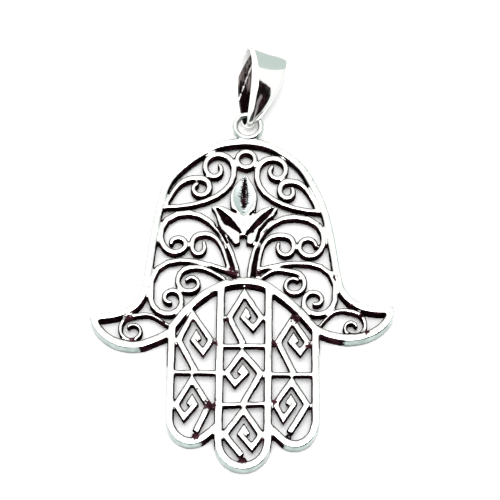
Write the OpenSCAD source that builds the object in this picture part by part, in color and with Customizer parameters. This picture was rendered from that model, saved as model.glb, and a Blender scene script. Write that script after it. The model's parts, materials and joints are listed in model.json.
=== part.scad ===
// Hamsa pendant: a pierced silver hand lying on its back, and the bail in its eye ring.
// Sizes are in millimetres. The hand is drawn on a grid that starts at the middle
// fingertip: x to the right of the middle finger's axis, y towards the ring.
// Every length in a table is a share: it counts squares of that grid.

/* [Hand] */
// Width across the two wing tips
hand_width = 34.7; // [31:0.1:40]
// Height from the middle fingertip to the top of the rim
hand_height = 41; // [37:0.1:47]
// Width of the rim, the knuckle arch and the finger bars
rim_width = 0.94; // [0.85:0.01:1.05]
// Depth of the rim and the finger bars
rim_depth = 1.6; // [1.5:0.05:1.9]
// How far the front edges of all the bars are worn down
worn_edge = 0.12; // [0.08:0.01:0.16]

/* [Scroll work] */
// Width of the scroll wire at the root of its stem
scroll_root_width = 0.56; // [0.5:0.01:0.64]
// Width of the scroll wire where the stem meets the spiral, its widest place
scroll_width = 0.8; // [0.72:0.01:0.88]
// Width of the scroll wire at its inner end
scroll_end_width = 0.58; // [0.5:0.01:0.66]
// Depth of the scroll wire, from the front face down
scroll_depth = 1.1; // [0.8:0.05:1.4]
// How far the scrolls lie below the front face
scroll_sink = 0.1; // [0.06:0.01:0.16]
// Width of the wire of the small circle at the top
circle_width = 0.66; // [0.58:0.01:0.74]
// Width of the angular key motifs at their foot
key_width = 0.8; // [0.7:0.01:0.86]
// Width of the key motifs at their inner end
key_end_width = 0.6; // [0.5:0.01:0.66]
// Depth of the key motifs
key_depth = 0.8; // [0.6:0.05:1.2]
// Width of the thin bars across the fingers
cross_width = 0.52; // [0.4:0.01:0.6]
// Depth of the thin bars across the fingers
cross_depth = 0.95; // [0.7:0.05:1.2]

/* [Lotus] */
// Depth of the bud and its two leaves
lotus_depth = 1.15; // [0.9:0.05:1.4]
// Depth of the grooves carved in the bud and the leaves
groove_depth = 0.55; // [0.3:0.05:0.7]

/* [Eye ring] */
// Outside diameter of the ring
ring_diameter = 3.92; // [3.7:0.02:4.2]
// Thickness of the ring's wire
ring_wire = 0.78; // [0.68:0.02:0.8]
// Height of the ring's middle above the surface the pendant lies on
ring_height = 1.45; // [1.4:0.05:1.6]

/* [Bail] */
// Length of the folded bail
bail_length = 9.8; // [9:0.1:10.6]
// Width of its strip at the top
bail_top_width = 4.6; // [3.8:0.1:5]
// Width of its strip at the closed lower end
bail_foot_width = 0.7; // [0.6:0.05:0.9]
// Depth of the loop at the top, outside
bail_top_depth = 4; // [3.6:0.1:4.4]
// Depth of the loop at the foot, outside
bail_foot_depth = 2.25; // [2.2:0.05:2.4]
// Thickness of the strip
bail_strip = 0.36; // [0.3:0.01:0.4]
// Radius of the bow along the bail's front
bail_bow = 8.5; // [7.5:0.5:14]
// Free play between the ring's wire and the foot of the loop
bail_play = 0.9; // [0.8:0.05:1]
// Angle by which the bail leans to the right
bail_lean = 13.5; // [8:0.5:18]
// Angle by which its right side is turned down
bail_roll = 24; // [16:0.5:26]

/* [Hidden] */
squares_across = 98.3;
squares_up = 116.2;
grid_x = hand_width / squares_across;
grid_y = hand_height / squares_up;
curve_steps = 4;
stem_steps = 8;
steps_a_quarter = 4;
tip_steps = 14;
loop_steps = 22;
bead_drop = 0.3;
bead_depth = 0.35;
bead_crown = 0.1;

// Middle of the rim, from the top down to the wing tips. Columns: x, y.
rim_left = [
    [0, 114.9], [-5.3, 114.4], [-10.5, 113], [-18.4, 107.8], [-25.6, 100], [-28.3, 91],
    [-30, 80], [-31.2, 69], [-32.6, 59.3], [-36, 53.9], [-42, 51.3], [-48.4, 50.5]
];
rim_right = [
    [0, 114.9], [5.4, 114.2], [10.6, 111.9], [18.2, 105.5], [23, 96.8], [26.2, 88],
    [28.3, 77], [29.7, 67.5], [31.6, 60.4], [36, 56], [41.4, 54.3], [46.9, 54.4]
];
// Underside of the wings, from the tips in to the outer finger bars. Columns: x, y.
wing_left = [
    [-48.3, 50.3], [-47, 47], [-43.5, 43.4], [-39, 41.4], [-33.5, 41.1], [-28, 43.2], [-23.2, 45.8]
];
wing_right = [
    [46.6, 54.1], [46.2, 51.3], [43.2, 47.7], [38, 45], [32.5, 44.3], [27, 45.4], [22.8, 47.2]
];
// Knuckle arch, from the left outer bar to the right one. Columns: x, y.
arch = [
    [-23.2, 47.2], [-18, 54.2], [-12, 59.7], [-6, 62.8], [0, 63.7], [6, 62.7], [11, 59.3],
    [17, 54], [22.8, 47.2]
];
// Fingers. Columns: x of the left bar, y of its upper end, x and y of the tip's middle, half
// width of the tip, its drop, start angle, end angle, x and y where the bar ends again.
fingers = [
    [-7.7, 62, 0, 9.5, 7.7, 8.4, 180, 360, 7.7, 61.8],
    [-23.15, 47.4, -16.25, 17, 6.9, 8, 180, 305, -7.7, 14.4],
    [22.75, 47.6, 16.2, 17, 6.55, 8.6, 360, 235, 7.7, 14.4]
];
// Thin bars across the fingers. Columns: left x, left y, right x, right y.
cross_bars = [
    [-7.6, 41.1, 7.6, 41.3], [-7.6, 21, 7.6, 21.8], [-23, 31.9, -7.8, 31.9], [7.8, 31.6, 22.6, 31.6]
];
// Key motifs. Columns: middle x, middle y, left half width, right half width, rise, drop,
// turn (1 is clockwise from the foot, -1 the other way), top's step to the side,
// foot's step to the side, drop of the inner turn as a share of the drop.
keys = [
    [0.2, 50.9, 5.1, 5.2, 8.7, 8.9, 1, -0.3, -0.6, 0.4],
    [0, 31.9, 5.4, 5.4, 7.1, 9.9, -1, -0.6, 0, 0.37],
    [0, 11.4, 5.7, 5.7, 8.2, 6.9, 1, 0.1, -0.3, 0.6],
    [-15.6, 42.9, 5.3, 5.1, 9.1, 10.6, 1, -1, 0.4, 0.39],
    [-15.8, 21, 5.3, 4.9, 8.7, 8.9, -1, -0.5, 1, 0.47],
    [15.5, 42.6, 4.7, 4.7, 7.7, 10.3, 1, -0.2, 0.2, 0.34],
    [15.2, 21.6, 5.2, 4.8, 7.8, 9.4, -1, 0, -0.7, 0.52]
];
// Beads of solder between the keys and the bars. Columns: x, y, radius.
beads = [
    [-9.5, 20.7, 1.1], [-15, 11, 1], [9.5, 21.6, 1.1], [20.9, 21.2, 1.1], [14.2, 11, 1],
    [9.6, 42.3, 1.1], [20.9, 42.3, 1.1], [16.6, 51.2, 1.4], [0, 3, 1.4], [-0.2, 62.3, 1.1]
];
// Scrolls: a stem that bends from its root into a spiral round its eye. Columns: root x,
// root y, root heading, pull at the root and pull at the spiral (shares of the stem's span),
// eye x, eye y, start angle, turn (1 is anticlockwise), quarter turns, radius at each quarter,
// thickness of the wire as a share of the three scroll widths.
scrolls = [
    [-28.2, 90.2, 0, 0.56, 0.31, -10.2, 105.2, 0, 1, 4.3, [6, 4.9, 3.6, 3.4, 1.7, 1.1], 1],
    [-27.2, 89.6, 65, 0.5, 0.43, -15.2, 97.6, 90, -1, 3.5, [3.5, 3, 2.8, 2.4, 1.4], 1],
    [25.7, 89.2, 180, 0.52, 0.33, 10, 104.6, 180, -1, 4.3, [6.4, 4.1, 3.1, 3.3, 2.2, 1.1], 1],
    [23.8, 89.4, 114, 0.42, 0.39, 13.8, 97, 90, 1, 3.2, [3.3, 2.7, 2.9, 1.75, 1.1], 1],
    [-2.1, 64.6, 96, 0.37, 0.37, -22.6, 77.2, 90, 1, 5, [10.5, 4.7, 3.3, 3.05, 1.8, 1.7], 1],
    [-5.3, 68.3, 105, 0.46, 0.43, -15.3, 76.5, 90, 1, 3.3, [3.9, 2.1, 3.2, 1.9, 2], 0.9],
    [1.1, 64.6, 87, 0.46, 0.46, 20.6, 76.6, 90, -1, 4.9, [9.8, 4.5, 3.5, 3, 2.7, 2.4], 0.95],
    [4, 65, 86, 0.5, 0.46, 13, 76.6, 90, -1, 3.2, [3.8, 2.75, 3.3, 2.5, 1.8], 0.9],
    [-2.8, 66.3, 155, 0.37, 0.7, -23.5, 57.3, 180, 1, 4.7, [6.8, 5.1, 3.1, 3, 2.4, 1.1], 0.95],
    [-6.3, 64.3, 150, 0.43, 0.39, -17.8, 62.8, 90, 1, 4.4, [5.7, 3.9, 2.7, 2.8, 2.1, 1.3], 0.85],
    [-23.4, 47.4, 148, 0.64, 0.54, -36.2, 46, 90, 1, 4.4, [5.1, 3.4, 3.1, 3.1, 2, 1.2], 0.68],
    [4, 67.8, 20, 0.31, 0.68, 22.3, 57.3, 0, -1, 4.9, [6.7, 4.6, 3.3, 3, 2.5, 1.2], 0.92],
    [4.7, 64.7, 38, 0.58, 0.53, 15.9, 62.6, 90, -1, 4.3, [4.8, 3.3, 2.8, 2.8, 2.4, 1.6], 0.85],
    [23.3, 47.3, 52, 0.56, 0.48, 34.6, 47.9, 90, -1, 4.7, [5.8, 3.9, 2.4, 2.5, 1.9, 1.2], 0.68]
];
// Small circle at the top. Columns: middle x, middle y, radius.
top_circle = [-0.2, 108.35, 3];
// Middle line of each leaf, from its blunt foot to its tip. Columns: x, y, width.
leaf_left = [
    [-2.7, 77, 1.9], [-3.8, 80.4, 4.2], [-5.4, 84.4, 6.6], [-7.2, 87.4, 5.8], [-9.1, 89.2, 3.4],
    [-11.4, 90.3, 0.8]
];
leaf_right = [
    [1.2, 77, 2.2], [2.3, 80.4, 4], [4.1, 84, 6.6], [6.4, 87.3, 5.8], [8.6, 89.2, 3.2],
    [10.5, 89.9, 0.8]
];
// Middle line of the bud, from its foot to its tip. Columns: x, y, width.
bud = [
    [-0.7, 79.9, 1.8], [-0.7, 82.4, 3.2], [-0.9, 86, 6], [-0.9, 90.3, 8.4], [-0.8, 94.5, 9.1],
    [-0.6, 98.3, 6.4], [-0.2, 101.8, 1.2]
];
// Grooves in the leaves and the bud. Columns: x, y, width.
groove_left = [[-1.4, 80.8, 0.4], [-3.6, 83, 1.7], [-6, 85.4, 2.5], [-8, 87.8, 1.7], [-9.8, 90, 0.4]];
groove_right = [[0, 80, 0.4], [2.4, 82.8, 1.4], [5, 85.7, 2], [7.4, 88.3, 1.4], [9.3, 90.3, 0.4]];
groove_cleft_left = [[-5.2, 89.8, 0.5], [-3.9, 88.8, 0.7], [-2.4, 87.4, 0.3]];
groove_cleft_right = [[2.8, 89.2, 0.5], [1.8, 88, 0.7], [0.5, 86.6, 0.3]];
groove_bud = [[-0.5, 90.2, 0.5], [-0.6, 92.5, 1.8], [-0.6, 95.2, 2.2], [-0.5, 98.4, 1.5], [-0.4, 101, 0.4]];
// Middle of the eye ring. Columns: x, y.
ring_spot = [0.3, 120.7];

// Grid squares to millimetres.
function to_mm(p) = [p[0] * grid_x, p[1] * grid_y];
function all_mm(list) = [for (p = list) to_mm(p)];

function unit(v) = v / norm(v);
function aim(angle) = [cos(angle), sin(angle)];
function across(v) = [-v[1], v[0]];
function nearest(p, i) = p[min(max(i, 0), len(p) - 1)];

// Smooth curve through the points p, with n steps from each to the next.
function through(p, n) = concat(
    [
        for (i = [0 : len(p) - 2], k = [0 : n - 1])
            blend(nearest(p, i - 1), p[i], p[i + 1], nearest(p, i + 2), k / n)
    ],
    [p[len(p) - 1]]
);
function blend(a, b, c, d, t) =
    b + t / 2 * (c - a)
    + t * t / 2 * (2 * a - 5 * b + 4 * c - d)
    + t * t * t / 2 * (3 * b - a - 3 * c + d);

// Bend from a to d, leaving towards b and arriving from c.
function bend(a, b, c, d, n) = [
    for (k = [0 : n - 1])
        let (t = k / n, u = 1 - t)
            u * u * u * a + 3 * u * u * t * b + 3 * u * t * t * c + t * t * t * d
];

// Radius of a spiral after q quarter turns, from its radius at each quarter.
function spiral_radius(r, q) =
    let (i = min(floor(q), len(r) - 2), l = [for (v = r) ln(v)])
        exp(blend(nearest(l, i - 1), l[i], l[i + 1], nearest(l, i + 2), q - i));
function on_spiral(s, q) = to_mm([s[5], s[6]] + spiral_radius(s[10], q) * aim(s[7] + s[8] * 90 * q));

// Middle line of one scroll: the stem, then the spiral.
function scroll_line(s) =
    let (
        root = to_mm([s[0], s[1]]),
        mouth = on_spiral(s, 0),
        span = norm(mouth - root),
        mouth_way = unit(on_spiral(s, 0.05) - mouth),
        turns = round(s[9] * steps_a_quarter)
    )
        concat(
            bend(root, root + s[3] * span * aim(s[2]), mouth - s[4] * span * mouth_way, mouth, stem_steps),
            [for (k = [0 : turns]) on_spiral(s, s[9] * k / turns)]
        );

// Widths along a scroll of n points: swelling up the stem, narrowing round the spiral.
function scroll_widths(n) = [
    for (i = [0 : n - 1])
        i < stem_steps
            ? scroll_root_width + (scroll_width - scroll_root_width) * (i / stem_steps) ^ 1.5
            : scroll_width + (scroll_end_width - scroll_width) * (i - stem_steps) / (n - 1 - stem_steps)
];

// Middle line of a key motif: foot, side, top, other side, then the turn inside.
function key_line(k) =
    let (
        first = k[6] > 0 ? -k[2] : k[3],
        second = k[6] > 0 ? k[3] : -k[2],
        spots = [
            [k[8], -k[5]], [first, 0], [k[7], k[4]], [second, 0], [second * 0.5, -k[9] * k[5]],
            [first * 0.15, 0.02 * k[4]], [second * 0.06, 0.27 * k[4]], [second * 0.24, 0.08 * k[4]]
        ]
    )
        [for (v = spots) to_mm([k[0], k[1]] + v)];

// Middle line of a finger: down one bar, round the tip, up or across to the end.
function tip_arc(f) = [
    for (k = [0 : tip_steps])
        let (a = f[6] + (f[7] - f[6]) * k / tip_steps)
            to_mm([f[2] + f[4] * cos(a), f[3] + f[5] * sin(a)])
];
function finger_line(f) = concat([to_mm([f[0], f[1]])], tip_arc(f), [to_mm([f[8], f[9]])]);

// Direction across a line of points at point i, lengthened at corners so that the width holds.
function side_way(p, i) =
    let (
        before = unit(p[max(i, 1)] - p[max(i, 1) - 1]),
        after = unit(nearest(p, i + 1) - nearest(p, min(i, len(p) - 2))),
        middle = unit(before + after)
    )
        across(middle) / max(0.55, middle * after);

// Points that round off the end of a line w wide: two more steps, each narrower.
function end_steps(p, w) =
    let (last = p[len(p) - 1], way = unit(last - p[len(p) - 2]))
        [last + 0.3 * w * way, last + 0.48 * w * way];

// One slice of a bar: flat back, upright sides, front edges worn off.
function slice(p, side, w, low, top, edge) = [
    for (
        v = [
            [-w / 2, low], [w / 2, low], [w / 2, top - edge], [w / 2 - edge, top],
            [edge - w / 2, top], [-w / 2, top - edge]
        ]
    )
        [p[0] + side[0] * v[0], p[1] + side[1] * v[0], v[1]]
];

// A bar along the points p, as one closed body. Its widths are listed, one for each point.
module bar(p, widths, depth, edge = worn_edge, top = rim_depth) {
    last = len(p) - 1;
    slices = [
        for (i = [0 : last])
            slice(p[i], side_way(p, i), widths[i], top - depth, top, min(edge, widths[i] * 0.3))
    ];
    polyhedron(
        points = [for (s = slices, v = s) v],
        faces = concat(
            [[0, 1, 2, 3, 4, 5], [for (k = [5 : -1 : 0]) 6 * last + k]],
            [
                for (i = [0 : last - 1], k = [0 : 5], half = [0, 1])
                    let (a = 6 * i + k, b = 6 * i + (k + 1) % 6)
                        half == 0 ? [a, b + 6, b] : [a, a + 6, b + 6]
            ]
        )
    );
}

// A bar of the listed widths, with a rounded last end.
module wire(p, widths, depth, top = rim_depth) {
    v = widths[len(p) - 1];
    bar(concat(p, end_steps(p, v)), concat(widths, [v * 0.8, v * 0.35]), depth, worn_edge, top);
}

module plain_bar(p, w, depth) {
    bar(p, [for (v = p) w], depth);
}

// A bar whose width is the third column of its table, as a share of the grid.
module shaped_bar(table, depth, edge = worn_edge, top = rim_depth) {
    line = through(table, curve_steps);
    bar(all_mm(line), [for (v = line) v[2] * grid_x], depth, edge, top);
}

module rim() {
    line = concat([for (i = [len(rim_left) - 1 : -1 : 1]) rim_left[i]], rim_right);
    path = all_mm(through(line, curve_steps));
    start = end_steps([path[1], path[0]], rim_width);
    bar(
        concat([start[1], start[0]], path, end_steps(path, rim_width)),
        rim_width * concat([0.35, 0.8], [for (v = path) 1], [0.8, 0.35]),
        rim_depth
    );
    plain_bar(all_mm(through(wing_left, curve_steps)), rim_width, rim_depth);
    plain_bar(all_mm(through(wing_right, curve_steps)), rim_width, rim_depth);
    plain_bar(all_mm(through(arch, curve_steps)), rim_width, rim_depth);
}

module finger_work() {
    for (f = fingers) {
        plain_bar(finger_line(f), rim_width, rim_depth);
    }
    for (c = cross_bars) {
        hull() plain_bar([to_mm([c[0], c[1]]), to_mm([c[2], c[3]])], cross_width, cross_depth);
    }
    for (k = keys) {
        line = key_line(k);
        last = len(line) - 1;
        widths = [for (i = [0 : last]) key_width + (key_end_width - key_width) * (i / last) ^ 2];
        wire(line, widths, key_depth);
    }
    for (b = beads) {
        bead(to_mm([b[0], b[1]]), b[2] * grid_x);
    }
}

// A low bead of solder, below the level of the front.
module bead(spot, r) {
    translate([spot[0], spot[1], rim_depth - bead_drop - bead_depth])
        hull() {
            cylinder(r = r, h = bead_depth, $fn = 8);
            cylinder(r = r * 0.5, h = bead_depth + bead_crown, $fn = 8);
        }
}

module scroll_work() {
    scroll_top = rim_depth - scroll_sink;
    for (s = scrolls) {
        line = scroll_line(s);
        wire(line, s[11] * scroll_widths(len(line)), scroll_depth, scroll_top);
    }
    loop(to_mm(top_circle), top_circle[2] * grid_x, circle_width, scroll_depth, scroll_top);
}

// A closed round bar with the middle line's radius r.
module loop(spot, r, w, depth, top) {
    slices = [
        for (k = [0 : loop_steps - 1])
            let (way = aim(360 * k / loop_steps))
                slice(spot + r * way, -way, w, top - depth, top, worn_edge)
    ];
    polyhedron(
        points = [for (s = slices, v = s) v],
        faces = [
            for (i = [0 : loop_steps - 1], k = [0 : 5], half = [0, 1])
                let (a = 6 * i, b = 6 * ((i + 1) % loop_steps), next = (k + 1) % 6)
                    half == 0 ? [a + k, b + next, a + next] : [a + k, b + k, b + next]
        ]
    );
}

module lotus() {
    difference() {
        union() {
            shaped_bar(leaf_left, lotus_depth);
            shaped_bar(leaf_right, lotus_depth);
            shaped_bar(bud, lotus_depth);
        }
        for (g = [groove_left, groove_right, groove_cleft_left, groove_cleft_right, groove_bud]) {
            shaped_bar(g, groove_depth + 1, 0.01, rim_depth + 1);
        }
    }
}

ring_middle = to_mm(ring_spot);
ring_radius = (ring_diameter - ring_wire) / 2;

module eye_ring() {
    translate([ring_middle[0], ring_middle[1], ring_height])
        rotate_extrude($fn = 28)
            translate([ring_radius, 0])
                circle(d = ring_wire, $fn = 12);
}

// The bail's middle line, seen from its side: two round ends, joined by a bowed front flank and
// a straight back one.
// Each point is [distance from the foot, height above the middle] and its outward way.
top_bend = (bail_top_depth - bail_strip) / 2;
foot_bend = (bail_foot_depth - bail_strip) / 2;
top_spot = bail_length - bail_strip / 2 - top_bend;
foot_spot = bail_strip / 2 + foot_bend;
bend_gap = top_spot - foot_spot;
flank = asin((top_bend - foot_bend) / bend_gap);
// Middle of the bow, which touches both round ends from outside, and its ends' angles.
bow_along = ((bail_bow - foot_bend) ^ 2 - (bail_bow - top_bend) ^ 2 + bend_gap ^ 2) / (2 * bend_gap);
bow_down = sqrt((bail_bow - foot_bend) ^ 2 - bow_along ^ 2);
bow_foot = atan2(bow_down, -bow_along);
bow_top = atan2(bow_down, bend_gap - bow_along);
function bend_points(spot, radius, from, to, n) = [
    for (k = [0 : n])
        let (way = aim(from + (to - from) * k / n))
            [[spot, 0] + radius * way, way]
];
function flank_points(a, b, way, n) = [for (k = [1 : n - 1]) [a + (b - a) * k / n, way]];
function bow_points(n) = [
    for (k = [1 : n - 1])
        let (way = aim(bow_top + (bow_foot - bow_top) * k / n))
            [[foot_spot + bow_along, -bow_down] + bail_bow * way, way]
];
top_end = bend_points(top_spot, top_bend, -90 - flank, bow_top, 14);
foot_end = bend_points(foot_spot, foot_bend, bow_foot, 270 - flank, 8);
bail_line = concat(
    top_end,
    bow_points(12),
    foot_end,
    flank_points(foot_end[8][0], top_end[0][0], top_end[0][1], 8)
);

// Width of the strip at a distance from the foot: a petal, quick to widen.
function strip_width(s) =
    let (left = 1 - min(max(s / bail_length, 0), 1))
        bail_top_width - (bail_top_width - bail_foot_width) * left * left;

// One slice of the strip, as [distance, side, height].
strip_edge = bail_strip * 0.3;
function strip_slice(b) =
    let (w = strip_width(b[0][0]) / 2, t = bail_strip / 2, e = strip_edge)
        [
            for (
                v = [
                    [-w, e - t], [e - w, -t], [w - e, -t], [w, e - t],
                    [w, t - e], [w - e, t], [e - w, t], [-w, t - e]
                ]
            )
                [b[0][0] + b[1][0] * v[1], v[0], b[0][1] + b[1][1] * v[1]]
        ];

// The strip is turned on its length, raised until it rests on the surface, then leaned.
wire_at = bail_strip + bail_play + ring_wire / 2;
wire_drop = 0.02;
function rolled(v) =
    let (along = v[0] - wire_at, side = v[1], up = v[2] + wire_drop)
        [side * cos(bail_roll) + up * sin(bail_roll), along, up * cos(bail_roll) - side * sin(bail_roll)];
rolled_points = [for (b = bail_line, v = strip_slice(b)) rolled(v)];
bail_pitch = max([
    for (v = rolled_points)
        if (v[1] > 0 && norm([v[1], v[2]]) > ring_height)
            atan2(-v[2], v[1]) - asin(ring_height / norm([v[1], v[2]]))
]);
hang_spot = ring_middle + ring_radius * aim(90 - bail_lean);
function posed(v) =
    let (
        along = v[1] * cos(bail_pitch) - v[2] * sin(bail_pitch),
        up = v[1] * sin(bail_pitch) + v[2] * cos(bail_pitch)
    )
        [
            hang_spot[0] + v[0] * cos(bail_lean) + along * sin(bail_lean),
            hang_spot[1] - v[0] * sin(bail_lean) + along * cos(bail_lean),
            ring_height + up
        ];
bail_points = [for (v = rolled_points) posed(v)];

// Origin: on the surface, under the middle of the whole pendant.
function low_end(list, k) = min([for (v = list) v[k]]);
function high_end(list, k) = max([for (v = list) v[k]]);
function edge_points(p, w) = [for (i = [0 : len(p) - 1], h = [-0.5, 0.5]) p[i] + h * w * side_way(p, i)];
left_wing = all_mm(through(rim_left, curve_steps));
right_wing = all_mm(through(rim_right, curve_steps));
wing_ends = concat(
    edge_points(concat(left_wing, end_steps(left_wing, rim_width)), rim_width * 0.35),
    edge_points(concat(right_wing, end_steps(right_wing, rim_width)), rim_width * 0.35),
    edge_points(all_mm(through(wing_left, curve_steps)), rim_width),
    edge_points(all_mm(through(wing_right, curve_steps)), rim_width)
);
tip_points = edge_points(tip_arc(fingers[0]), rim_width);
origin = [
    (low_end(wing_ends, 0) + high_end(wing_ends, 0)) / 2,
    (low_end(tip_points, 1) + high_end(bail_points, 1)) / 2,
    0
];

module hand() {
    color([0.82, 0.82, 0.8])
        translate(-origin) {
            rim();
            finger_work();
            scroll_work();
            lotus();
            eye_ring();
        }
}

module bail() {
    rings = len(bail_line);
    color([0.86, 0.86, 0.84])
        translate(-origin)
            polyhedron(
                points = bail_points,
                faces = [
                    for (i = [0 : rings - 1], k = [0 : 7], half = [0, 1])
                        let (
                            a = i * 8 + k,
                            b = i * 8 + (k + 1) % 8,
                            c = ((i + 1) % rings) * 8 + (k + 1) % 8,
                            d = ((i + 1) % rings) * 8 + k
                        )
                            half == 0 ? [a, c, b] : [a, d, c]
                ]
            );
}

hand();
bail();
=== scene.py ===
# Hamsa pendant of cast silver with a folded silver bail, lying on a white table.
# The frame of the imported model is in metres; the sizes in the dictionaries are in mm.
import bpy
import json
import math
from mathutils import Matrix, Vector
from mathutils.bvhtree import BVHTree

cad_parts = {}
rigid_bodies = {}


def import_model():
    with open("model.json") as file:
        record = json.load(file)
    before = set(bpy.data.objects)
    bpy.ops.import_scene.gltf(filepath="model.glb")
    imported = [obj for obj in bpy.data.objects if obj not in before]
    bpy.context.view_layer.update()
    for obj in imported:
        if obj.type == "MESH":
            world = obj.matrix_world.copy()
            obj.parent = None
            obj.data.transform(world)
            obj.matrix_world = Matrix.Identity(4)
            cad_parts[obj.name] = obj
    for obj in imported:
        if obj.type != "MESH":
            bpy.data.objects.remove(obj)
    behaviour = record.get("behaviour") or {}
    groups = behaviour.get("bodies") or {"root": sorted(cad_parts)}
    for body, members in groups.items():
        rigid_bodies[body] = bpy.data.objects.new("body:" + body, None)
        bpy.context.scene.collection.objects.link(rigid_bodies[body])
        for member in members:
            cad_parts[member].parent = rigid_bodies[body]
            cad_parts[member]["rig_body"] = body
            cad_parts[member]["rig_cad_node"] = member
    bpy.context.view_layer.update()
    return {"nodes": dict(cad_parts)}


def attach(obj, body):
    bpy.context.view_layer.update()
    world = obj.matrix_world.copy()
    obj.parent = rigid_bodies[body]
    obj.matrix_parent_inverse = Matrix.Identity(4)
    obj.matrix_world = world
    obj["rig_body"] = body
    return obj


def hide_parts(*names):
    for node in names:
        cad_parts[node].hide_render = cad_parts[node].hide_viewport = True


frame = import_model()
mm = 0.001
doubles = 0.0005 * mm  # points of the CAD mesh nearer than this are one


def toLinear(hexColour):  # sRGB hex to the linear colour that a node takes
    parts = [int(hexColour[i:i + 2], 16) / 255 for i in (1, 3, 5)]
    return [p / 12.92 if p <= 0.04045 else ((p + 0.055) / 1.055) ** 2.4 for p in parts] + [1]


def clamp(value):
    return min(1, max(0, value))


def newMaterial(name):  # an empty material and its node tree
    material = bpy.data.materials.new(name)
    material.use_nodes = True
    material.node_tree.nodes.clear()
    return material, material.node_tree


def addNode(tree, kind, settings=None, links=None):  # one node, its settings and what feeds it
    # a socket goes by its name or its number: in a colour mix 0 is the share, 6 and 7 the colours
    node = tree.nodes.new(kind)
    for name, value in (settings or {}).items():
        if isinstance(name, str) and name not in node.inputs:
            setattr(node, name, value)
        else:
            node.inputs[name].default_value = value
    for name, source in (links or {}).items():
        tree.links.new(source, node.inputs[name])
    return node


def pick(piece):  # piece is the only thing selected, and active
    bpy.ops.object.select_all(action="DESELECT")
    piece.hide_set(False)
    piece.select_set(True)
    bpy.context.view_layer.objects.active = piece


def copyOf(nodeName, newName):  # a loose copy of a CAD node, its doubles merged
    pick(frame["nodes"][nodeName])
    bpy.ops.object.duplicate()
    piece = bpy.context.view_layer.objects.active
    piece.name = newName
    piece.parent = None
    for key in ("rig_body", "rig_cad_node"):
        del piece[key]
    bpy.ops.object.mode_set(mode="EDIT")
    bpy.ops.mesh.select_all(action="SELECT")
    bpy.ops.mesh.remove_doubles(threshold=doubles)
    bpy.ops.object.mode_set(mode="OBJECT")
    piece.data.materials.clear()
    return piece


def applyModifier(piece, kind, **settings):
    modifier = piece.modifiers.new(kind.lower(), kind)
    for name, value in settings.items():
        setattr(modifier, name, value)
    bpy.ops.object.modifier_apply(modifier=modifier.name)


def paint(piece, name, values):  # a value at each point, for the material to read
    piece.data.attributes.new(name, "FLOAT", "POINT").data.foreach_set("value", values)


# The lotus bud is scooped out from its rim down to the slit in its middle.
bud = {
    "foot": (-0.02, 4.7),
    "tip": (0.06, 9.7),
    "half": 1.5,
    "outline": 0.7,  # power of the sine that the scoop's outline follows: less is blunter
    "rim": 0.86,  # where the scoop starts, as a share of the half width
    "depth": 0.3,
    "steepness": 1.6,
    "footDepth": 0.45,  # the scoop is shallow at the foot: its share there, and how fast it grows
    "footGrowth": 2,
}


def scoopAt(x, y):  # 0 on the bud's rim and outside it, 1 along its slit
    (footX, footY), (tipX, tipY) = bud["foot"], bud["tip"]
    length = math.hypot(tipX - footX, tipY - footY)
    wayX, wayY = (tipX - footX) / length, (tipY - footY) / length
    along = ((x - footX) * wayX + (y - footY) * wayY) / length
    if not 0 < along < 1:
        return 0.0
    aside = abs((x - footX) * wayY - (y - footY) * wayX)
    reach = bud["rim"] * bud["half"] * max(0.01, math.sin(math.pi * along) ** bud["outline"])
    return max(0.0, 1 - aside / reach) * min(1, bud["footDepth"] + bud["footGrowth"] * along)


# Where the leaves were soldered against the scrolls a seam is left, and solder closes the narrow
# gaps between the stems part of the way up.
solder = {
    "seams": [
        [(-3.13, 3.57), (-2.3, 2.17), (-1.88, 1.28)],
        [(3.52, 4.57), (2.66, 3.91), (1.86, 2.74), (1.52, 1.58)],
    ],
    "seamHalf": 0.17,
    "seamDepth": 0.45,
    "seamSteepness": 2,
    "gaps": [((-1.81, 0.45), (-1.19, -2.07)), ((1.77, 0.5), (1.28, -2.54))],
    "webWidth": 0.7,
    "webFoot": 0.3,
    "webTop": 1.0,
}


def seamAt(x, y):  # 1 along a seam, 0 off it
    nearest = solder["seamHalf"]
    for seam in solder["seams"]:
        for (x1, y1), (x2, y2) in zip(seam, seam[1:]):
            runX, runY = x2 - x1, y2 - y1
            along = clamp(((x - x1) * runX + (y - y1) * runY) / (runX ** 2 + runY ** 2))
            nearest = min(nearest, math.hypot(x - x1 - along * runX, y - y1 - along * runY))
    return 1 - nearest / solder["seamHalf"]


def addWebs(piece):
    middle = (solder["webFoot"] + solder["webTop"]) / 2
    tall = solder["webTop"] - solder["webFoot"]
    for (x1, y1), (x2, y2) in solder["gaps"]:
        length = math.hypot(x2 - x1, y2 - y1)
        bpy.ops.object.select_all(action="DESELECT")
        bpy.ops.mesh.primitive_cube_add(
            size=1,
            location=((x1 + x2) / 2 * mm, (y1 + y2) / 2 * mm, middle * mm),
            rotation=(0, 0, math.atan2(y2 - y1, x2 - x1)),
            scale=(length * mm, solder["webWidth"] * mm, tall * mm),
        )
        web = bpy.context.view_layer.objects.active
        pick(piece)
        web.select_set(True)
        bpy.ops.object.join()


# The cast hand: a soft copy of the CAD node, as a wax cast comes out after tumbling.
hand = {
    "voxel": 0.1,
    "smoothSteps": 3,
    "smoothFactor": 0.5,
    "waveSize": 1.3,  # hand-filed unevenness of the bars
    "waveDepth": 0.1,
    "front": 1.6,  # height of the front face
    "cutReach": 0.8,  # how far below the front the scoop and the seams still press the metal down
    "keepFaces": 150000,
    "rays": 7,  # a wall looks along a fan of rays for another wall, to know that it lies inside
    "fan": 120,
    "reach": 6,
    "offWall": 0.03,  # where the rays start
    "wallFrom": 0.3,  # flat part of the normal from which a surface counts as a wall
}


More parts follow.
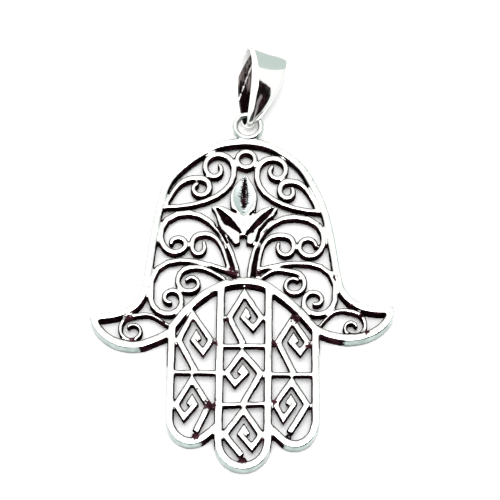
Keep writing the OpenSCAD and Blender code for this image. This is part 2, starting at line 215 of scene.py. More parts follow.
def makeHand():
    piece = copyOf("hand", "handCast")
    addWebs(piece)
    applyModifier(
        piece, "REMESH", mode="VOXEL", voxel_size=hand["voxel"] * mm, use_smooth_shade=True,
    )
    print("hand: remeshed to", len(piece.data.polygons), "faces")
    applyModifier(piece, "SMOOTH", factor=hand["smoothFactor"], iterations=hand["smoothSteps"])
    waves = bpy.data.textures.new("filedWaves", "CLOUDS")
    waves.noise_scale = hand["waveSize"] * mm
    waves.noise_depth = 1
    applyModifier(
        piece, "DISPLACE", texture=waves, texture_coords="LOCAL", mid_level=0.5,
        strength=hand["waveDepth"] * mm, direction="NORMAL",
    )
    for vertex in piece.data.vertices:
        if vertex.co.z > (hand["front"] - hand["cutReach"]) * mm:
            x, y = vertex.co.x / mm, vertex.co.y / mm
            scooped = bud["depth"] * min(1, bud["steepness"] * scoopAt(x, y))
            seamed = solder["seamDepth"] * min(1, solder["seamSteepness"] * seamAt(x, y))
            vertex.co.z -= (scooped + seamed) * mm
        vertex.co.z = max(0.0, vertex.co.z)  # the back was filed flat
    triangles = sum(len(p.vertices) - 2 for p in piece.data.polygons)
    applyModifier(piece, "DECIMATE", ratio=min(1, hand["keepFaces"] / triangles))
    print("hand: kept", len(piece.data.polygons), "faces")
    return piece


def paintInside(piece):  # "inside" is 1 on walls that face another wall close by, 0 on open ones
    mesh = piece.data
    tree = BVHTree.FromPolygons(
        [v.co for v in mesh.vertices], [p.vertices for p in mesh.polygons],
    )
    values = []
    for vertex in mesh.vertices:
        normal = mesh.vertex_normals[vertex.index].vector
        flat = Vector((normal.x, normal.y, 0))
        if flat.length < hand["wallFrom"]:
            values.append(0.0)
            continue
        flat.normalize()
        start = vertex.co + flat * hand["offWall"] * mm
        hits = 0
        for i in range(hand["rays"]):
            angle = math.radians(-hand["fan"] / 2 + hand["fan"] * i / (hand["rays"] - 1))
            ray = Vector((
                flat.x * math.cos(angle) - flat.y * math.sin(angle),
                flat.x * math.sin(angle) + flat.y * math.cos(angle),
                0,
            ))
            if tree.ray_cast(start, ray, hand["reach"] * mm)[0] is not None:
                hits += 1
        values.append(hits / hand["rays"])
    paint(piece, "inside", values)
    print("hand: inside walls painted,", len(values), "points")


# Where the bath and the polish left dark, rough spots: x, y and radius.
stains = {
    "fade": 1.4,  # a spot's last grains lie this many radii out
    "spots": [
        (-1.2, -2.8, 1.05), (1.8, -2.65, 0.6), (-1.8, -8.5, 0.5), (-3.1, -11.35, 0.5),
        (3.65, -11.3, 0.55), (-3.4, -18.6, 0.95), (-5.0, -22.3, 0.65), (0.3, -25.0, 0.75),
        (3.7, -18.2, 0.5), (6.0, -8.2, 0.8), (7.5, -11.5, 0.5), (12.3, -6.6, 0.45),
        (13.5, -7.7, 0.4), (14.0, -9.7, 0.4), (10.5, -3.1, 0.4), (-12.9, -8.4, 0.7),
        (-8.7, -8.6, 0.6), (-3.3, -5.3, 0.5), (-12.3, -10.8, 0.5), (-3.1, 6.3, 0.4),
    ],
}


def paintSpots(piece):  # "stain" runs from 1 in the middle of a spot to 0 at its edge
    stain, scoop = [], []
    for vertex in piece.data.vertices:
        x, y = vertex.co.x / mm, vertex.co.y / mm
        scoop.append(scoopAt(x, y))
        stain.append(max(
            max(0.0, 1 - math.hypot(x - spotX, y - spotY) / (stains["fade"] * radius))
            for spotX, spotY, radius in stains["spots"]
        ))
    paint(piece, "stain", stain)
    paint(piece, "scoop", scoop)
    print("hand: spots painted,", sum(v > 0 for v in scoop), "points in the bud")


# Sterling silver, lost-wax cast and tumbled: the faces are bright and slightly soft, and the
# walls inside the pattern keep the brown-black of the liver-of-sulphur bath.
castSilver = {
    "bright": "#F6F5F1",
    "specks": "#C4CAC7",
    "scooped": "#F2F7F6",
    "dark": "#100709",
    "brown": "#46262F",
    "outer": "#ACBAB5",  # the film on the open walls, part tarnish and part painted reflection
    "outerCloud": "#90A09B",
    # painted shade at the foot of the open walls, where they meet the table
    "outerFootShade": "#2E3735",
    "footShadeHeight": 0.6,
    "roughBright": 0.16,
    "roughDark": 0.42,
    "gloss": 0.5,
    "pitSize": 0.25,  # cast pits, drawn about three times as coarse as they are
    "pitDepth": 0.012,
    "pitBump": 0.35,
    "blotchSize": 1.1,
    "streak": (0.9, 0.11, 0.9),  # the graver's strokes across the bud
    "ringSideShade": 0.5,  # how much more of the shoulders on the ring's side counts as wall, as painted shade along them
    "recessTop": 1.43,  # height at which a hollow starts to hold the dark, and where it is all dark
    "recessFloor": 1.36,
    "ringFoot": 14.9,  # how far up the eye ring starts; its inside was wiped nearly clean
    "ringFade": 0.2,
    "ringShare": 0.42,
    "blotchShift": 0.5,  # how far the noises move the edges of the dark, the slit and the spots
    "strokeShift": 1.2,
    "grainShift": 1.4,
    "spotBrown": 0.14,  # how much browner the spots are than the walls
    "brownFrom": 0.52,
    "brownTo": 0.76,
    # where each part of the look starts, and where it is full
    "edges": {
        "wall": {"From Min": 0.96, "From Max": 0.78},
        "level": {"From Min": 0.5, "From Max": 0.8},
        "enclosed": {"From Min": 0.2, "From Max": 0.5},
        "bathed": {"From Min": 0.25, "From Max": 0.6},
        "offScoop": {"From Min": 0.12, "From Max": 0.02},
        "onScoop": {"From Min": 0.02, "From Max": 0.2},
        "slit": {"From Min": 0.6, "From Max": 0.74},
        "spot": {"From Min": 0.35, "From Max": 0.55},
        "nearSpot": {"From Min": 0.02, "From Max": 0.25},
        "pit": {"From Min": 0.63, "From Max": 0.7},
        "cloud": {"From Min": 0.4, "From Max": 0.6},
        "filmAndReflection": {"From Min": 0.3, "From Max": -0.6, "To Min": 0.3},
    },
}


def makeCastSilver():
    material, tree = newMaterial("castSilverOxidised")
    edges = castSilver["edges"]
    place = addNode(tree, "ShaderNodeTexCoord").outputs["Object"]
    parts = addNode(tree, "ShaderNodeSeparateXYZ", links={0: place})
    shape = addNode(tree, "ShaderNodeNewGeometry")
    slope = addNode(tree, "ShaderNodeSeparateXYZ", links={0: shape.outputs["Normal"]})
    inside = addNode(tree, "ShaderNodeAttribute", {"attribute_name": "inside"}).outputs["Fac"]
    scoop = addNode(tree, "ShaderNodeAttribute", {"attribute_name": "scoop"}).outputs["Fac"]
    stain = addNode(tree, "ShaderNodeAttribute", {"attribute_name": "stain"}).outputs["Fac"]
    pits = addNode(
        tree, "ShaderNodeTexNoise",
        {"Scale": 1 / (castSilver["pitSize"] * mm), "Detail": 3.0, "Roughness": 0.6},
        {"Vector": place},
    ).outputs["Fac"]
    blotches = addNode(
        tree, "ShaderNodeTexNoise",
        {"Scale": 1 / (castSilver["blotchSize"] * mm), "Detail": 4.0, "Roughness": 0.65},
        {"Vector": place},
    ).outputs["Fac"]

    # a wall is where the surface is steep; the shoulders on the ring's side count more as wall,
    # so painted shade darkens them
    ringSideShade = addNode(
        tree, "ShaderNodeMath", {"operation": "MAXIMUM", 1: 0.0}, {0: slope.outputs["Y"]},
    ).outputs[0]
    steep = addNode(
        tree, "ShaderNodeMath", {"operation": "MULTIPLY_ADD", 1: -castSilver["ringSideShade"]},
        {0: ringSideShade, 2: slope.outputs["Z"]},
    ).outputs[0]
    wall = addNode(
        tree, "ShaderNodeMapRange", edges["wall"], {"Value": steep},
    ).outputs["Result"]
    enclosed = addNode(
        tree, "ShaderNodeMapRange", edges["enclosed"], {"Value": inside},
    ).outputs["Result"]
    wallInside = addNode(
        tree, "ShaderNodeMath", {"operation": "MULTIPLY"}, {0: wall, 1: enclosed},
    ).outputs[0]

    # the floors of the leaves' grooves are dark too
    deep = addNode(
        tree, "ShaderNodeMapRange",
        {"From Min": castSilver["recessTop"] * mm, "From Max": castSilver["recessFloor"] * mm},
        {"Value": parts.outputs["Z"]},
    ).outputs["Result"]
    level = addNode(
        tree, "ShaderNodeMapRange", edges["level"], {"Value": slope.outputs["Z"]},
    ).outputs["Result"]
    floor = addNode(
        tree, "ShaderNodeMath", {"operation": "MULTIPLY"}, {0: deep, 1: level},
    ).outputs[0]
    bathed = addNode(
        tree, "ShaderNodeMath", {"operation": "MAXIMUM"}, {0: wallInside, 1: floor},
    ).outputs[0]

    # the scoop of the bud was cut after the bath, so it is clean, and the ring was wiped
    offScoop = addNode(
        tree, "ShaderNodeMapRange", edges["offScoop"], {"Value": scoop},
    ).outputs["Result"]
    recess = addNode(
        tree, "ShaderNodeMath", {"operation": "MULTIPLY"}, {0: bathed, 1: offScoop},
    ).outputs[0]
    wiped = addNode(
        tree, "ShaderNodeMapRange",
        {
            "From Min": (castSilver["ringFoot"] + castSilver["ringFade"]) * mm,
            "From Max": castSilver["ringFoot"] * mm,
            "To Min": castSilver["ringShare"],
        },
        {"Value": parts.outputs["Y"]},
    ).outputs["Result"]
    kept = addNode(
        tree, "ShaderNodeMath", {"operation": "MULTIPLY"}, {0: recess, 1: wiped},
    ).outputs[0]

    # the bath takes unevenly: blotches shift the edge of the dark
    uneven = addNode(
        tree, "ShaderNodeMath",
        {
            "operation": "MULTIPLY_ADD",
            1: castSilver["blotchShift"],
            2: -castSilver["blotchShift"] / 2,
        },
        {0: blotches},
    ).outputs[0]
    shifted = addNode(
        tree, "ShaderNodeMath", {"operation": "ADD"}, {0: kept, 1: uneven},
    ).outputs[0]
    recessDark = addNode(
        tree, "ShaderNodeMapRange", edges["bathed"], {"Value": shifted},
    ).outputs["Result"]

    # the slit of the bud, frayed by the strokes that run out from it
    stretched = addNode(
        tree, "ShaderNodeVectorMath",
        {"operation": "DIVIDE", 1: [v * mm for v in castSilver["streak"]]}, {0: place},
    ).outputs[0]
    strokes = addNode(
        tree, "ShaderNodeTexNoise", {"Scale": 1.0, "Detail": 2.0}, {"Vector": stretched},
    ).outputs["Fac"]
    frayed = addNode(
        tree, "ShaderNodeMath",
        {
            "operation": "MULTIPLY_ADD",
            1: castSilver["strokeShift"],
            2: -castSilver["strokeShift"] / 2,
        },
        {0: strokes},
    ).outputs[0]
    cut = addNode(
        tree, "ShaderNodeMath", {"operation": "ADD"}, {0: scoop, 1: frayed},
    ).outputs[0]
    slit = addNode(tree, "ShaderNodeMapRange", edges["slit"], {"Value": cut}).outputs["Result"]

    # rough spots that stayed dark on the faces too, each kept to its own place
    grain = addNode(
        tree, "ShaderNodeMath",
        {
            "operation": "MULTIPLY_ADD",
            1: castSilver["grainShift"],
            2: -castSilver["grainShift"] / 2,
        },
        {0: pits},
    ).outputs[0]
    grainy = addNode(
        tree, "ShaderNodeMath", {"operation": "ADD"}, {0: stain, 1: grain},
    ).outputs[0]
    anySpot = addNode(
        tree, "ShaderNodeMapRange", edges["spot"], {"Value": grainy},
    ).outputs["Result"]
    nearSpot = addNode(
        tree, "ShaderNodeMapRange", edges["nearSpot"], {"Value": stain},
    ).outputs["Result"]
    spots = addNode(
        tree, "ShaderNodeMath", {"operation": "MULTIPLY"}, {0: anySpot, 1: nearSpot},
    ).outputs[0]
    darker = addNode(
        tree, "ShaderNodeMath", {"operation": "MAXIMUM"}, {0: recessDark, 1: slit},
    ).outputs[0]
    tarnish = addNode(
        tree, "ShaderNodeMath", {"operation": "MAXIMUM"}, {0: darker, 1: spots},
    ).outputs[0]

    # the faces have a few open cast pits
    pit = addNode(tree, "ShaderNodeMapRange", edges["pit"], {"Value": pits}).outputs["Result"]
    pitted = addNode(
        tree, "ShaderNodeMix",
        {
            "data_type": "RGBA",
            6: toLinear(castSilver["bright"]),
            7: toLinear(castSilver["specks"]),
        },
        {0: pit},
    ).outputs[2]

    # walls that face the fingertips keep a thin grey-green film, part tarnish and part painted
    # reflection; it is darker at the foot, as painted shade where they meet the table
    # painted shade: the open walls darken towards the table
    foot = addNode(
        tree, "ShaderNodeMapRange",
        {"From Min": castSilver["footShadeHeight"] * mm, "From Max": 0.0},
        {"Value": parts.outputs["Z"]},
    ).outputs["Result"]
    cloud = addNode(
        tree, "ShaderNodeMapRange", edges["cloud"], {"Value": blotches},
    ).outputs["Result"]
    cloudy = addNode(
        tree, "ShaderNodeMix",
        {
            "data_type": "RGBA",
            6: toLinear(castSilver["outer"]),
            7: toLinear(castSilver["outerCloud"]),
        },
        {0: cloud},
    ).outputs[2]
    outer = addNode(
        tree, "ShaderNodeMix", {"data_type": "RGBA", 7: toLinear(castSilver["outerFootShade"])},
        {0: foot, 6: cloudy},
    ).outputs[2]
    facing = addNode(
        tree, "ShaderNodeMapRange", edges["filmAndReflection"], {"Value": slope.outputs["Y"]},
    ).outputs["Result"]
    filmAndReflectionShare = addNode(
        tree, "ShaderNodeMath", {"operation": "MULTIPLY"}, {0: wall, 1: facing},
    ).outputs[0]
    filmAndReflectionWall = addNode(
        tree, "ShaderNodeMix", {"data_type": "RGBA"}, {0: filmAndReflectionShare, 6: pitted, 7: outer},
    ).outputs[2]
    onScoop = addNode(
        tree, "ShaderNodeMapRange", edges["onScoop"], {"Value": scoop},
    ).outputs["Result"]
    clean = addNode(
        tree, "ShaderNodeMix", {"data_type": "RGBA", 7: toLinear(castSilver["scooped"])},
        {0: onScoop, 6: filmAndReflectionWall},
    ).outputs[2]

    browner = addNode(
        tree, "ShaderNodeMath", {"operation": "MULTIPLY_ADD", 1: castSilver["spotBrown"]},
        {0: spots, 2: blotches},
    ).outputs[0]
    darkTone = addNode(tree, "ShaderNodeValToRGB", links={"Fac": browner})
    ramp = darkTone.color_ramp.elements
    ramp[0].position, ramp[0].color = castSilver["brownFrom"], toLinear(castSilver["dark"])
    ramp[1].position, ramp[1].color = castSilver["brownTo"], toLinear(castSilver["brown"])
    colour = addNode(
        tree, "ShaderNodeMix", {"data_type": "RGBA"},
        {0: tarnish, 6: clean, 7: darkTone.outputs["Color"]},
    ).outputs[2]

    # the dark skin is silver sulphide: no metal, and dull
    rough = addNode(
        tree, "ShaderNodeMapRange",
        {"To Min": castSilver["roughBright"], "To Max": castSilver["roughDark"]},
        {"Value": tarnish},
    ).outputs["Result"]
    metal = addNode(
        tree, "ShaderNodeMath", {"operation": "SUBTRACT", 0: 1.0}, {1: tarnish},
    ).outputs[0]
    gloss = addNode(
        tree, "ShaderNodeMapRange", {"To Min": castSilver["gloss"], "To Max": 0.0},
        {"Value": tarnish},
    ).outputs["Result"]
    bump = addNode(
        tree, "ShaderNodeBump",
        {"Strength": castSilver["pitBump"], "Distance": castSilver["pitDepth"] * mm},
        {"Height": pits},
    ).outputs["Normal"]
    surface = addNode(
        tree, "ShaderNodeBsdfPrincipled", {},
        {
            "Base Color": colour,
            "Metallic": metal,
            "Specular IOR Level": gloss,
            "Roughness": rough,
            "Normal": bump,
        },
    )
    addNode(tree, "ShaderNodeOutputMaterial", links={"Surface": surface.outputs["BSDF"]})
    return material


# The bail: a strip of sheet silver, folded over, its front bevelled and bowed.
bail = {
    "levels": 4,
    "quadAngle": 60,  # flat enough pairs of triangles are made quads before the strip is rounded
    "smoothAngle": 50,
    "topBend": (2.15, 23.89, 2.75),  # middle of the top bend, and the angles the loop is turned by
    "lean": 13.5,
    "pitch": 12,
    "roll": 24,
    "bendToBend": 6.675,  # from the top bend's middle to the foot bend's, and to the foot's end
    "bendToFoot": 7.8,
    "length": 9.8,
    "topWidth": 4.6,
    "footWidth": 0.7,
    "leftBevel": 0.72,  # width and fall of the long bevel down the strip's left side
    "leftFall": 0.3,
    "bevelShare": 0.7,  # the bevel is never wider than this share of the half width
    "bevelEnds": 0.1,  # what is left of its width at the strip's ends
    "bevelSwell": 0.6,
    "crown": 0.16,  # how far the right edge falls from the strip's middle
    "leftCrown": 0.35,  # share of that fall on the left
    "flatBack": 1.2,  # how fast the shaping fades round the bend, so that the back stays flat
    "backBow": 0.34,  # how far the back's left edge bows out, and the front's bows in
    "frontBow": 0.22,
    "bowPower": 1.5,
    "leftCorner": 0.46,  # how far the corners of the top bend are drawn out, left and up
    "rightCorner": 0.45,
    "cornerFrom": 0.6,
    "edgeFacing": 0.3,  # how squarely a surface faces the loop's middle before it is an inner one
    "topShade": 0.5,  # the inner side's mark at the top; it is 1 at the foot
}


def bailPlace(point):
    # the loop's turn, how far a point lies across the strip, its share of the strip's length from
    # the foot, and its way to the loop's middle
    turn = (
        Matrix.Rotation(-math.radians(bail["lean"]), 3, "Z")
        @ Matrix.Rotation(math.radians(bail["pitch"]), 3, "X")
        @ Matrix.Rotation(math.radians(bail["roll"]), 3, "Y")
    )
    side, along, high = turn.transposed() @ (point / mm - Vector(bail["topBend"]))
    beyond = min(0, -along) + max(0, -along - bail["bendToBend"])
    inward = Vector((0, beyond, -high)).normalized()
    return turn, side, clamp((along + bail["bendToFoot"]) / bail["length"]), inward


def makeBail():
    piece = copyOf("bail", "bailStrip")
    quadAngle = math.radians(bail["quadAngle"])
    bpy.ops.object.mode_set(mode="EDIT")
    bpy.ops.mesh.select_all(action="SELECT")
    bpy.ops.mesh.tris_convert_to_quads(face_threshold=quadAngle, shape_threshold=quadAngle)
    bpy.ops.object.mode_set(mode="OBJECT")
    applyModifier(piece, "SUBSURF", levels=bail["levels"], render_levels=bail["levels"])
    bpy.ops.object.shade_smooth_by_angle(angle=math.radians(bail["smoothAngle"]))
    mesh = piece.data
    for vertex in mesh.vertices:  # the sides curl in: a bevel on the left, a crown on the right
        turn, side, share, inward = bailPlace(vertex.co)
        half = (bail["topWidth"] - (bail["topWidth"] - bail["footWidth"]) * (1 - share) ** 2) / 2
        swell = math.sin(math.pi * share) ** bail["bevelSwell"]
        bevel = min(bail["leftBevel"], bail["bevelShare"] * half)
        bevel *= bail["bevelEnds"] + (1 - bail["bevelEnds"]) * swell
        fall = bail["crown"] * (side / half) ** 2 * (1 if side > 0 else bail["leftCrown"])
        if side < bevel - half:
            fall += bail["leftFall"] * (bevel - half - side) / bail["leftBevel"]
        front = clamp(0.5 - bail["flatBack"] * inward.z)
        corner = max(0, (share - bail["cornerFrom"]) / (1 - bail["cornerFrom"])) ** 2
        bow = front * bail["frontBow"] - (1 - front) * bail["backBow"]
        bow *= math.sin(math.pi * share) ** bail["bowPower"]
        drawn = Vector((
            max(0, -side / half) * (bow - bail["leftCorner"] * corner),
            max(0, side / half) * bail["rightCorner"] * corner,
            0,
        ))
        vertex.co += turn @ (inward * fall * front + drawn) * mm
    values = []
    for vertex in mesh.vertices:  # "inside" is 0 on the outer side and on the edges
        turn, _, share, inward = bailPlace(vertex.co)
        facing = inward.dot(turn.transposed() @ mesh.vertex_normals[vertex.index].vector)
        inner = clamp((facing - bail["edgeFacing"]) / bail["edgeFacing"])
        values.append((1 - bail["topShade"] * share) * inner)
    paint(piece, "inside", values)
    print("bail: made with", len(mesh.polygons), "faces")
    return piece


# Sheet silver, buffed to a mirror outside; the loop's inner side was never buffed, so it is brown
# with worn streaks along the strip; painted shade darkens it where the loop closes, and painted
# highlights lighten a line and a shoulder on it.
buffedSilver = {
    "bright": "#F8F8F4",
    "dark": "#12070A",
    "worn": "#A89C98",
    "darkTo": 0.4,
    "wornFrom": 0.64,
    "innerMetal": 0.3,  # how much of the metal still shows through the brown
    "rough": 0.06,
    "roughSpread": 2.2,
    "smearSize": 0.6,  # faint smears of the buff
    "smearDepth": 0.01,
    "smearBump": 0.15,
    "streak": (0.5, 2.6, 0.5),  # the worn streaks run along the strip
    "lineHighlight": ((0.65, 24.54, 1.71), (-0.57, 20.76, 1.52)),  # a painted highlight: a light line across the inner side
    "lineHighlightHalf": 0.1,
    "lineHighlightWander": 0.4,
    "shoulder": ((0.52, 25.57, 2.67), (-0.58, 23.73, 2.0)),  # left of it the inner side is painted white, a painted highlight
    "shoulderTone": "#FFFFFF",
    "shoulderHighlightFade": 0.04,
    "innerWay": (0.35, -0.15, 0.92),  # which way the inner side of the back faces
    # where each part of the look starts, and where it is full
    "edges": {
        "smear": {"From Min": 0.3, "From Max": 0.8},
        "inner": {"From Min": 0.15, "From Max": 0.45},
        "closingShade": {"From Min": 0.7, "From Max": 0.84, "To Max": 0.36},
    },
}


def offLine(tree, place, ends):  # how far right of a line on the inner side a point lies
    start, end = (Vector(spot) * mm for spot in ends)
    across = Vector(buffedSilver["innerWay"]).cross(end - start).normalized()
    apart = addNode(
        tree, "ShaderNodeVectorMath", {"operation": "SUBTRACT", 1: start}, {0: place},
    ).outputs[0]
    return addNode(
        tree, "ShaderNodeVectorMath", {"operation": "DOT_PRODUCT", 1: across}, {0: apart},
    ).outputs["Value"]


def makeBuffedSilver():
    material, tree = newMaterial("buffedSheetSilver")
    edges = buffedSilver["edges"]
    place = addNode(tree, "ShaderNodeTexCoord").outputs["Object"]
    inside = addNode(tree, "ShaderNodeAttribute", {"attribute_name": "inside"}).outputs["Fac"]
    smears = addNode(
        tree, "ShaderNodeTexNoise",
        {"Scale": 1 / (buffedSilver["smearSize"] * mm), "Detail": 2.0}, {"Vector": place},
    ).outputs["Fac"]
    rough = addNode(
        tree, "ShaderNodeMapRange",
        {
            **edges["smear"],
            "To Min": buffedSilver["rough"],
            "To Max": buffedSilver["rough"] * buffedSilver["roughSpread"],
        },
        {"Value": smears},
    ).outputs["Result"]
    bump = addNode(
        tree, "ShaderNodeBump",
        {"Strength": buffedSilver["smearBump"], "Distance": buffedSilver["smearDepth"] * mm},
        {"Height": smears},
    ).outputs["Normal"]
    shade = addNode(
        tree, "ShaderNodeMapRange", edges["inner"], {"Value": inside},
    ).outputs["Result"]

    # brown with worn streaks, and painted shade darkening it where the loop closes
    stretched = addNode(
        tree, "ShaderNodeVectorMath",
        {"operation": "DIVIDE", 1: [v * mm for v in buffedSilver["streak"]]}, {0: place},
    ).outputs[0]
    streaks = addNode(
        tree, "ShaderNodeTexNoise", {"Scale": 1.0, "Detail": 3.0, "Roughness": 0.6},
        {"Vector": stretched},
    ).outputs["Fac"]
    # painted shade, deep in the loop where it closes
    closingShade = addNode(
        tree, "ShaderNodeMapRange", edges["closingShade"], {"Value": inside},
    ).outputs["Result"]
    worn = addNode(
        tree, "ShaderNodeMath", {"operation": "SUBTRACT"}, {0: streaks, 1: closingShade},
    ).outputs[0]
    innerTone = addNode(tree, "ShaderNodeValToRGB", links={"Fac": worn})
    ramp = innerTone.color_ramp.elements
    ramp[0].position, ramp[0].color = buffedSilver["darkTo"], toLinear(buffedSilver["dark"])
    ramp[1].position, ramp[1].color = buffedSilver["wornFrom"], toLinear(buffedSilver["worn"])

    # painted highlights: a light line across the inner side, and a white shoulder at its top left
    offLineHighlight = addNode(
        tree, "ShaderNodeMath", {"operation": "ABSOLUTE"},
        {0: offLine(tree, place, buffedSilver["lineHighlight"])},
    ).outputs[0]
    wander = addNode(
        tree, "ShaderNodeMath",
        {
            "operation": "MULTIPLY_ADD",
            1: buffedSilver["lineHighlightWander"] * mm,
            2: -buffedSilver["lineHighlightWander"] / 2 * mm,
        },
        {0: smears},
    ).outputs[0]
    ragged = addNode(
        tree, "ShaderNodeMath", {"operation": "ADD"}, {0: offLineHighlight, 1: wander},
    ).outputs[0]
    lineHighlight = addNode(
        tree, "ShaderNodeMapRange",
        {
            "From Min": buffedSilver["lineHighlightHalf"] * mm,
            "From Max": buffedSilver["lineHighlightHalf"] / 2 * mm,
        },
        {"Value": ragged},
    ).outputs["Result"]
    shoulder = addNode(
        tree, "ShaderNodeMapRange",
        {
            "From Min": buffedSilver["shoulderHighlightFade"] * mm,
            "From Max": -buffedSilver["shoulderHighlightFade"] * mm,
        },
        {"Value": offLine(tree, place, buffedSilver["shoulder"])},
    ).outputs["Result"]
    paintedHighlight = addNode(
        tree, "ShaderNodeMath", {"operation": "MAXIMUM"}, {0: lineHighlight, 1: shoulder},
    ).outputs[0]
    innerColour = addNode(
        tree, "ShaderNodeMix", {"data_type": "RGBA", 7: toLinear(buffedSilver["shoulderTone"])},
        {0: paintedHighlight, 6: innerTone.outputs["Color"]},
    ).outputs[2]
    colour = addNode(
        tree, "ShaderNodeMix", {"data_type": "RGBA", 6: toLinear(buffedSilver["bright"])},
        {0: shade, 7: innerColour},
    ).outputs[2]
    metal = addNode(
        tree, "ShaderNodeMapRange", {"To Min": 1.0, "To Max": buffedSilver["innerMetal"]},
        {"Value": shade},
    ).outputs["Result"]
    surface = addNode(
        tree, "ShaderNodeBsdfPrincipled", {},
        {"Base Color": colour, "Metallic": metal, "Roughness": rough, "Normal": bump},
    )
    addNode(tree, "ShaderNodeOutputMaterial", links={"Surface": surface.outputs["BSDF"]})
    return material


handPiece = makeHand()
paintInside(handPiece)
paintSpots(handPiece)
handPiece.data.materials.append(makeCastSilver())
bpy.ops.object.shade_smooth()
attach(handPiece, "root")
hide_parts("hand")

bailPiece = makeBail()
bailPiece.data.materials.append(makeBuffedSilver())
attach(bailPiece, "root")
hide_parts("bail")


# The studio: a white table top under an even white sky, with a soft panel above it.
studio = {
    "tableSize": 900,
    "tableColour": "#FFFFFF",
    "tableRough": 0.9,
    "toothSize": 0.4,  # the paper's tooth, drawn a few times as coarse as it is
    "toothDepth": 0.01,
    "toothBump": 0.05,
    "skyColour": "#FFFFFF",
    "horizonColour": "#E4EAE8",
    "skyStrength": 1.1,
    "skyRise": {"From Min": 0.2, "From Max": 0.5},  # sines of the heights where it turns white
    "panelSize": 350,
    "panelHeight": 600,
    "panelPower": 2.3,
    "foldSize": 180,  # unevenness of the cards' cloth
    "foldEdges": {"From Min": 0.48, "From Max": 0.68},
}


def makePaper():  # matt coated paper: even, with a very faint tooth
    material, tree = newMaterial("mattWhitePaper")
    place = addNode(tree, "ShaderNodeTexCoord").outputs["Object"]
    tooth = addNode(
        tree, "ShaderNodeTexNoise", {"Scale": 1 / (studio["toothSize"] * mm), "Detail": 2.0},
        {"Vector": place},
    ).outputs["Fac"]
    bump = addNode(
        tree, "ShaderNodeBump",
        {"Strength": studio["toothBump"], "Distance": studio["toothDepth"] * mm},
        {"Height": tooth},
    ).outputs["Normal"]
    surface = addNode(
        tree, "ShaderNodeBsdfPrincipled",
        {"Base Color": toLinear(studio["tableColour"]), "Roughness": studio["tableRough"]},
        {"Normal": bump},
    )
    addNode(tree, "ShaderNodeOutputMaterial", links={"Surface": surface.outputs["BSDF"]})
    return material


def makeTable():
    bpy.ops.object.select_all(action="DESELECT")
    bpy.ops.mesh.primitive_plane_add(size=studio["tableSize"] * mm, location=(0, 0, 0))
    table = bpy.context.view_layer.objects.active
    table.name = "tableTop"
    table.data.materials.append(makePaper())
    print("studio: table laid")


def makeLight():  # the sky, a shade darker at the horizon, and the panel
    world = bpy.data.worlds.new("whiteStudio")
    world.use_nodes = True
    bpy.context.scene.world = world
    tree = world.node_tree
    background = tree.nodes["Background"]
    background.inputs["Strength"].default_value = studio["skyStrength"]
    way = addNode(tree, "ShaderNodeTexCoord").outputs["Generated"]
    height = addNode(tree, "ShaderNodeSeparateXYZ", links={0: way}).outputs["Z"]
    rise = addNode(
        tree, "ShaderNodeMapRange", studio["skyRise"], {"Value": height},
    ).outputs["Result"]
    sky = addNode(
        tree, "ShaderNodeMix",
        {
            "data_type": "RGBA",
            6: toLinear(studio["horizonColour"]),
            7: toLinear(studio["skyColour"]),
        },
        {0: rise},
    ).outputs[2]
    tree.links.new(sky, background.inputs["Color"])

    panel = bpy.data.lights.new("softPanel", "AREA")
    panel.size = studio["panelSize"] * mm
    panel.energy = studio["panelPower"]
    lamp = bpy.data.objects.new("softPanel", panel)
    lamp.location = (0, 0, studio["panelHeight"] * mm)
    bpy.context.scene.collection.objects.link(lamp)
    bpy.context.scene.view_settings.view_transform = "Standard"
    print("studio: lit")


# Cards held round the table, which show only in the silver. Corners: compass bearing (0 is
# towards the bail, 90 to the right) and height in degrees, seen from the table.
cards = {
    "blackCard": {
        "distance": 560,
        "colours": ("#020101", "#260B15"),
        "corners": [(86, 58), (97, 41), (114, 29), (135, 14), (163, 20), (160, 60)],
    },
    "greyStrip": {
        "distance": 400,
        "colours": ("#958D8F", "#D6D2D3"),
        "corners": [
            (119, 50), (141, 46), (152, 35), (159, 22), (154, 20), (147, 32), (138, 41), (121, 46),
        ],
    },
    "darkRule": {
        "distance": 540,
        "colours": ("#1A0D11", "#3B1220"),
        "corners": [(128, 3), (150, 3), (152, 10), (130, 10)],
    },
    "cameraSide": {
        "distance": 600,
        "colours": ("#3A403F", "#5C6462"),
        "corners": [(158, 18), (202, 18), (202, 38), (158, 38)],
    },
    "paleCard": {
        "distance": 550,
        "colours": ("#C9D8D4", "#D2DDDA"),
        "corners": [(20, 6), (62, 6), (61, 30), (59, 46), (52, 61), (36, 56), (18, 42)],
    },
}


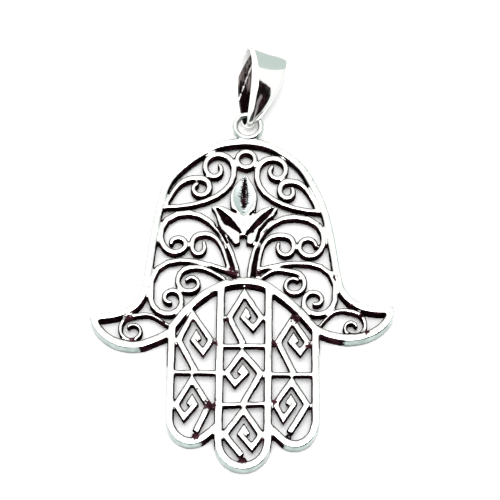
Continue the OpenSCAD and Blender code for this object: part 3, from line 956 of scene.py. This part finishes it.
def makeCloth(name, colours):  # a dull coloured card, uneven as cloth is
    material, tree = newMaterial(name)
    place = addNode(tree, "ShaderNodeTexCoord").outputs["Object"]
    folds = addNode(
        tree, "ShaderNodeTexNoise", {"Scale": 1 / (studio["foldSize"] * mm), "Detail": 1.0},
        {"Vector": place},
    ).outputs["Fac"]
    lighter = addNode(
        tree, "ShaderNodeMapRange", studio["foldEdges"], {"Value": folds},
    ).outputs["Result"]
    tone = addNode(
        tree, "ShaderNodeMix",
        {"data_type": "RGBA", 6: toLinear(colours[0]), 7: toLinear(colours[1])}, {0: lighter},
    ).outputs[2]
    glow = addNode(tree, "ShaderNodeEmission", {"Strength": 1.0}, {"Color": tone})
    addNode(tree, "ShaderNodeOutputMaterial", links={"Surface": glow.outputs["Emission"]})
    return material


def makeCards():
    for name, about in cards.items():
        bpy.ops.mesh.primitive_circle_add(vertices=len(about["corners"]), fill_type="NGON")
        card = bpy.context.view_layer.objects.active
        card.name = name
        for vertex, (bearing, rise) in zip(card.data.vertices, about["corners"]):
            turn, lift = math.radians(bearing), math.radians(rise)
            flat = math.cos(lift)
            way = Vector((math.sin(turn) * flat, math.cos(turn) * flat, math.sin(lift)))
            vertex.co = way * about["distance"] * mm
        card.visible_camera = False
        card.visible_diffuse = False
        card.visible_shadow = False
        card.data.materials.append(makeCloth(name + "Cloth", about["colours"]))
    print("studio:", len(cards), "cards held up")


camera = {
    "target": (0.787, 0.255, 1.6),
    "distance": 210,
    "tilt": 25,
    "roll": 0.74,
    "lens": 131.5,
    "sensor": 36,
    "near": 10,
    "far": 5000,
}


def makeCamera():
    tilt = math.radians(camera["tilt"])
    away = Vector((0, -math.sin(tilt), math.cos(tilt)))
    data = bpy.data.cameras.new("camera")
    data.lens = camera["lens"]
    data.sensor_width = camera["sensor"]
    data.clip_start = camera["near"] * mm
    data.clip_end = camera["far"] * mm
    view = bpy.data.objects.new("camera", data)
    bpy.context.scene.collection.objects.link(view)
    view.location = Vector(camera["target"]) * mm + away * camera["distance"] * mm
    view.rotation_euler = (-away).to_track_quat("-Z", "Y").to_euler()
    view.rotation_euler.rotate_axis("Z", math.radians(camera["roll"]))
    bpy.context.scene.camera = view
    print("camera: placed")


makeTable()
makeLight()
makeCards()
makeCamera()
